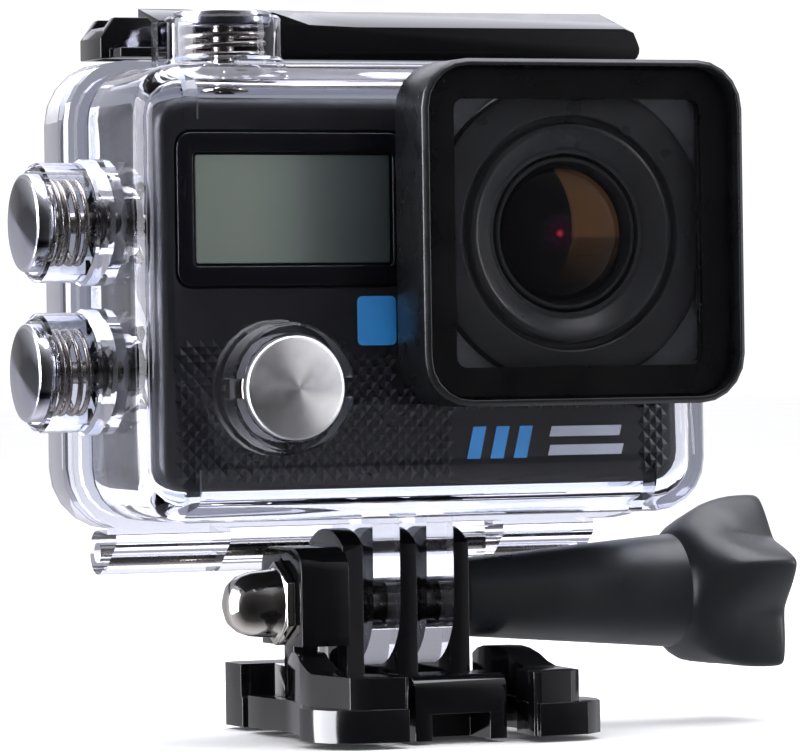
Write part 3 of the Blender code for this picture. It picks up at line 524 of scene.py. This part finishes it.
# --- buttons and springs -------------------------------------------------------------------------
# Each plunger: the axis's start on the camera, its direction, and heights along it. floor is where
# the spring's seat is, cap_in and cap are the cap's inner and outer ends, and cone is its bulge.
PLUNGERS = {
    "mode": dict(at=(-18.0, BODY_FRONT, 37.1), out=(0, -1, 0), floor=4.2, cap_in=7.2, cap=9.0,
                 cone=0.9, cap_r=5.4, travel=1.2, turns=2.5),
    "shutter": dict(at=(-18.9, -1.8, 67.5), out=(0, 0, 1), floor=4.0, cap_in=7.8, cap=9.5,
                    cone=0.4, cap_r=5.2, travel=1.4, turns=3.0),
}
for side_button, button_height in (("up", 54.7), ("down", 39.0)):
    PLUNGERS[side_button] = dict(at=(-29.65, -2.2, button_height), out=(-1, 0, 0), floor=5.5, cap_in=10.0,
                                 cap=12.0, cone=0.6, cap_r=5.15, travel=1.6, turns=4.0)
SPRING_R, WIRE_R = 4.3, 0.3
SPRING_GAP = 0.3  # between each end of a spring and what it presses on


def coil(name, p):
    """A compression spring with its end turns closed flat."""
    out = Vector(p["out"])
    side = Vector((0, 0, 1)) if abs(out.z) < 0.5 else Vector((0, 1, 0))
    other = out.cross(side)
    start, end = p["floor"] + SPRING_GAP, p["cap_in"] - SPRING_GAP
    count, sides = int(p["turns"] * 40), 10
    around = [2 * math.pi * k / sides for k in range(sides)]
    loops = []
    for i in range(count + 1):
        share = i / count
        angle = 2 * math.pi * p["turns"] * share
        eased = share - math.sin(2 * math.pi * share) / (2 * math.pi) * 0.5
        spoke = side * math.cos(angle) + other * math.sin(angle)
        height = start + WIRE_R + (end - start - 2 * WIRE_R) * eased
        centre = Vector(p["at"]) + out * height + spoke * SPRING_R
        loops.append([(centre + (spoke * math.cos(a) + out * math.sin(a)) * WIRE_R) * MM for a in around])
    return skin(name, loops, angle=80)


def make_cap(name, p, look):
    """A cap with a rounded rim and a shallow cone, hollow round the stem's end."""
    top, inner, radius, cone = p["cap"], p["cap_in"], p["cap_r"], p["cone"]
    cap = turned(name + "_cap_turned", p["at"], p["out"], [
        (top - 0.7, 0), (top - 0.7, 1.5), (inner, 1.5), (inner, radius - 0.3), (inner + 0.1, radius - 0.1),
        (inner + 0.3, radius), (top - 0.15, radius), (top - 0.02, radius - 0.08),
        (top + 0.06, radius - 0.25), (top + 0.12, radius - 0.5), (top + cone * 0.55, 3.0),
        (top + cone * 0.8, 1.6), (top + cone * 0.95, 0.6), (top + cone, 0),
    ], angle=40)
    piece(name + "_cap_turned", cap, look, name + "_plunger", [name + "_cap"])


def make_spring(name, p):
    """The plunger's spring, on a mesh of its own."""
    wire = coil(name + "_spring_wire", p)
    spring = piece(name + "_spring_wire", wire, STEEL, "housing", [name + "_spring"])
    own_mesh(spring)


MODE_CAP = turned_metal("mode_chrome", (0.97, 0.96, 0.98), 0.42, PLUNGERS["mode"]["at"],
                        PLUNGERS["mode"]["out"])
for name, p in PLUNGERS.items():
    make_cap(name, p, MODE_CAP if name == "mode" else SIDE_CAP_PAINTED_REFLECTION)
    make_spring(name, p)


# --- thumbscrew ---------------------------------------------------------------------------------
def make_handle():
    """A tapered handle that flares into a five-lobed knob, its hollows deepening towards the end."""
    lobes, steps = 5, 240
    # Each section: x, radius at the lobes' tips, and how deep the hollows between them are.
    profile = [
        (7.6, 3.9, 0), (7.75, 4.1, 0), (8.1, 4.2, 0), (20.0, 5.15, 0), (33.0, 6.2, 0), (33.35, 6.26, 0),
        (33.45, 6.5, 0), (34.3, 7.35, 0.05), (35.2, 8.05, 0.3), (36.2, 8.7, 0.75), (37.3, 9.3, 1.25),
        (38.4, 9.7, 1.75), (39.6, 10.02, 2.2), (40.8, 10.2, 2.55), (42.0, 10.28, 2.85), (43.0, 10.3, 3.05),
        (43.8, 10.25, 3.15), (44.2, 10.12, 3.2), (44.42, 9.9, 3.2), (44.5, 9.6, 3.15), (44.45, 6.0, 0.8),
        (44.2, 3.0, 0),
    ]
    sections = []
    for x, tip, hollow in profile:
        points = []
        for i in range(steps):
            angle = 2 * math.pi * i / steps
            away = abs((lobes * (angle - math.radians(90)) / math.pi + 1) % 2 - 1)
            # Softens the tip: 0 stays on it and 1 in the middle of a hollow.
            away = max(math.sqrt(away * away + 0.006) - 0.0775, 0) / 0.9255
            radius = tip - hollow * (1 - (1 - away) ** 1.7)
            points.append(to_world("x", radius * math.cos(angle), PIVOT_Z + radius * math.sin(angle), x))
        sections.append(points)
    piece("handle_lobed", skin("handle_lobed", sections, angle=45), MATT, "thumbscrew",
          ["thumbscrew_handle"])


make_handle()


# --- front of the camera -------------------------------------------------------------------------
ON_FRONT = BODY_FRONT - 0.02  # just clear of the camera's face
PRINT_LAYER = (BODY_FRONT - 0.08, ON_FRONT)


def make_knurl():
    """Raised diamonds over the lower front, clear of the button, the lens box, the tile and the plate."""
    pitch_x, pitch_z, rise = 1.43, 1.6, 0.3
    half_x, half_z = pitch_x / 2, pitch_z / 2
    left, right, bottom, top = -27.6, 27.6, 27.9, 42.2
    button_x, button_z = PLUNGERS["mode"]["at"][0], PLUNGERS["mode"]["at"][2]
    bm = bmesh.new()
    for row in range(int((top - bottom) / half_z) + 1):
        z = bottom + row * pitch_z / 2
        for column in range(int((right - left) / pitch_x) + 1):
            x = left + column * pitch_x + (row % 2) * pitch_x / 2
            on_plate = 2.6 < x < 25.0 and z < 35.0
            in_button = math.hypot(x - button_x, z - button_z) < 5.2
            by_tile = -8.9 < x < -2.6 and z > 40.4
            by_lens_box = x > -4 and z > 37.4
            if x > right or on_plate or in_button or by_tile or by_lens_box:
                continue
            corners = [bm.verts.new(to_world("y", x + a, z + b, ON_FRONT))
                       for a, b in ((half_x, 0), (0, half_z), (-half_x, 0), (0, -half_z))]
            tip = bm.verts.new(to_world("y", x, z, BODY_FRONT - rise))
            for i in range(4):
                bm.faces.new((corners[i], corners[(i + 1) % 4], tip))
    bmesh.ops.remove_doubles(bm, verts=bm.verts, dist=0.01 * MM)
    mesh = close(bm, "front_knurl", 10)
    piece("front_knurl", mesh, KNURL, "housing")


def slanted(name, x, z, width, tall, lean, look):
    """A thin printed bar whose top is shifted right by lean."""
    outline = [(x, z), (x + width, z), (x + width + lean, z + tall), (x + lean, z + tall)]
    mesh = skin(name, [[to_world("y", a, b, h) for a, b in outline] for h in PRINT_LAYER])
    piece(name, mesh, look, "housing")


def make_print():
    """Plain stripes, bars and a tile where the camera's front is printed."""
    for i in range(3):
        slanted(f"plate_stripe_{i}", 4.6 + i * 2.7, 29.2, 1.5, 3.4, 0.8, BLUE)
    for i, (x, z, width) in enumerate(((14.2, 31.4, 8.2), (14.0, 29.4, 8.6))):
        slanted(f"plate_bar_{i}", x, z, width, 1.1, 0.3, GREY)
    tile = stack("badge_tile", "y", [(h, (-5.5, 44.0), 4.4, 5.2, 0.6) for h in PRINT_LAYER])
    piece("badge_tile", tile, BLUE, "housing")


make_knurl()
make_print()


# --- camera, light and floor ------------------------------------------------------------------------
def make_camera():
    """The photograph's view: turned to the left of the lens axis, nearly level, and rolled a little."""
    turn, drop, roll = math.radians(22.589), math.radians(0.224), math.radians(0.828)
    aim, distance = Vector((1.674, 0, 38.07)) * MM, 0.5892
    across = Vector((math.cos(turn), -math.sin(turn), 0))
    into = Vector((math.sin(turn) * math.cos(drop), math.cos(turn) * math.cos(drop), -math.sin(drop)))
    up = across.cross(into)
    right = across * math.cos(roll) - up * math.sin(roll)
    top = up * math.cos(roll) + across * math.sin(roll)
    place = aim - into * distance
    data = bpy.data.cameras.new("camera")
    data.sensor_width, data.lens = 36, 245.7
    data.clip_start, data.clip_end = 0.05, 20
    camera = bpy.data.objects.new("camera", data)
    camera.matrix_world = Matrix((
        (right.x, top.x, -into.x, place.x),
        (right.y, top.y, -into.y, place.y),
        (right.z, top.z, -into.z, place.z),
        (0, 0, 0, 1),
    ))
    bpy.context.scene.collection.objects.link(camera)
    bpy.context.scene.camera = camera


def area_light(name, place, target, width, tall, power, colour=(1, 1, 1), mirrored_only=False):
    """A rectangular light of so many watts; mirrored_only keeps it off what isn't glossy or clear."""
    data = bpy.data.lights.new(name, "AREA")
    data.shape = "RECTANGLE"
    data.size, data.size_y = width, tall
    data.energy, data.color = power, colour
    light = bpy.data.objects.new(name, data)
    light.location = place
    light.visible_diffuse = not mirrored_only
    light.rotation_euler = (Vector(target) - Vector(place)).to_track_quat("-Z", "Y").to_euler()
    bpy.context.scene.collection.objects.link(light)


def make_floor():
    """A pale floor just under the buckle, which mirror rays don't see."""
    half_size, drop = 4, 0.0004
    bm = bmesh.new()
    bmesh.ops.create_grid(bm, x_segments=8, y_segments=8, size=half_size)
    bmesh.ops.translate(bm, verts=bm.verts, vec=(0, 0, -drop))
    mesh = close(bm, "floor")
    floor = bpy.data.objects.new("floor", mesh)
    bpy.context.scene.collection.objects.link(floor)
    look = Look("floor", (0.97, 0.97, 0.98), 0.6)
    look.vary("Base Color", 6, (0.965, 0.965, 0.975), (0.985, 0.985, 0.995))
    mesh.materials.append(look.material)
    floor.visible_glossy = False


def make_world():
    """White all round. Mirror rays see a studio, dark behind the camera and bright at the sides."""
    strength, toward_camera = 1.13, (-0.37, -0.9, -0.22)
    world = bpy.data.worlds.new("studio")
    bpy.context.scene.world = world
    world.use_nodes = True
    tree = world.node_tree
    white = tree.nodes["Background"]
    white.inputs["Color"].default_value = (1.0, 1.0, 1.0, 1.0)
    white.inputs["Strength"].default_value = strength
    room = tree.nodes.new("ShaderNodeBackground")
    facing = tree.nodes.new("ShaderNodeVectorMath")
    facing.operation = "DOT_PRODUCT"
    tree.links.new(tree.nodes.new("ShaderNodeTexCoord").outputs["Generated"], facing.inputs[0])
    facing.inputs[1].default_value = toward_camera
    share = tree.nodes.new("ShaderNodeMapRange")
    share.inputs["From Min"].default_value = -1.0
    tree.links.new(facing.outputs["Value"], share.inputs["Value"])
    tone = tree.nodes.new("ShaderNodeValToRGB")
    stops = [(0.0, 0.45), (0.2, 0.5), (0.35, 0.9), (0.55, 0.65), (0.7, 0.3), (0.82, 0.06), (1.0, 0.015)]
    elements = tone.color_ramp.elements
    while len(elements) < len(stops):
        elements.new(0.5)
    for element, (position, value) in zip(elements, stops):
        element.position = position
        element.color = (value * 0.93, value * 0.93, value, 1.0)
    tree.links.new(share.outputs["Result"], tone.inputs["Fac"])
    tree.links.new(tone.outputs["Color"], room.inputs["Color"])
    mix = tree.nodes.new("ShaderNodeMixShader")
    tree.links.new(tree.nodes.new("ShaderNodeLightPath").outputs["Is Glossy Ray"], mix.inputs["Fac"])
    tree.links.new(white.outputs["Background"], mix.inputs[1])
    tree.links.new(room.outputs["Background"], mix.inputs[2])
    tree.links.new(mix.outputs["Shader"], tree.nodes["World Output"].inputs["Surface"])
    bpy.context.scene.view_settings.view_transform = "Standard"


make_camera()
make_world()
make_floor()
MIDDLE, COOL = (0, 0, 0.045), (0.93, 0.93, 1.0)
area_light("top_box", (0.05, 0.05, 0.6), MIDDLE, 0.7, 0.5, 5, COOL)
area_light("left_box", (-0.68, 0.18, 0.1), MIDDLE, 0.6, 0.7, 20, COOL, mirrored_only=True)
area_light("right_box", (0.7, -0.35, 0.2), MIDDLE, 0.12, 0.5, 2)
area_light("back_box", (0.3, 0.6, 0.5), MIDDLE, 0.9, 0.55, 1.5, (0.88, 0.88, 1.0), mirrored_only=True)
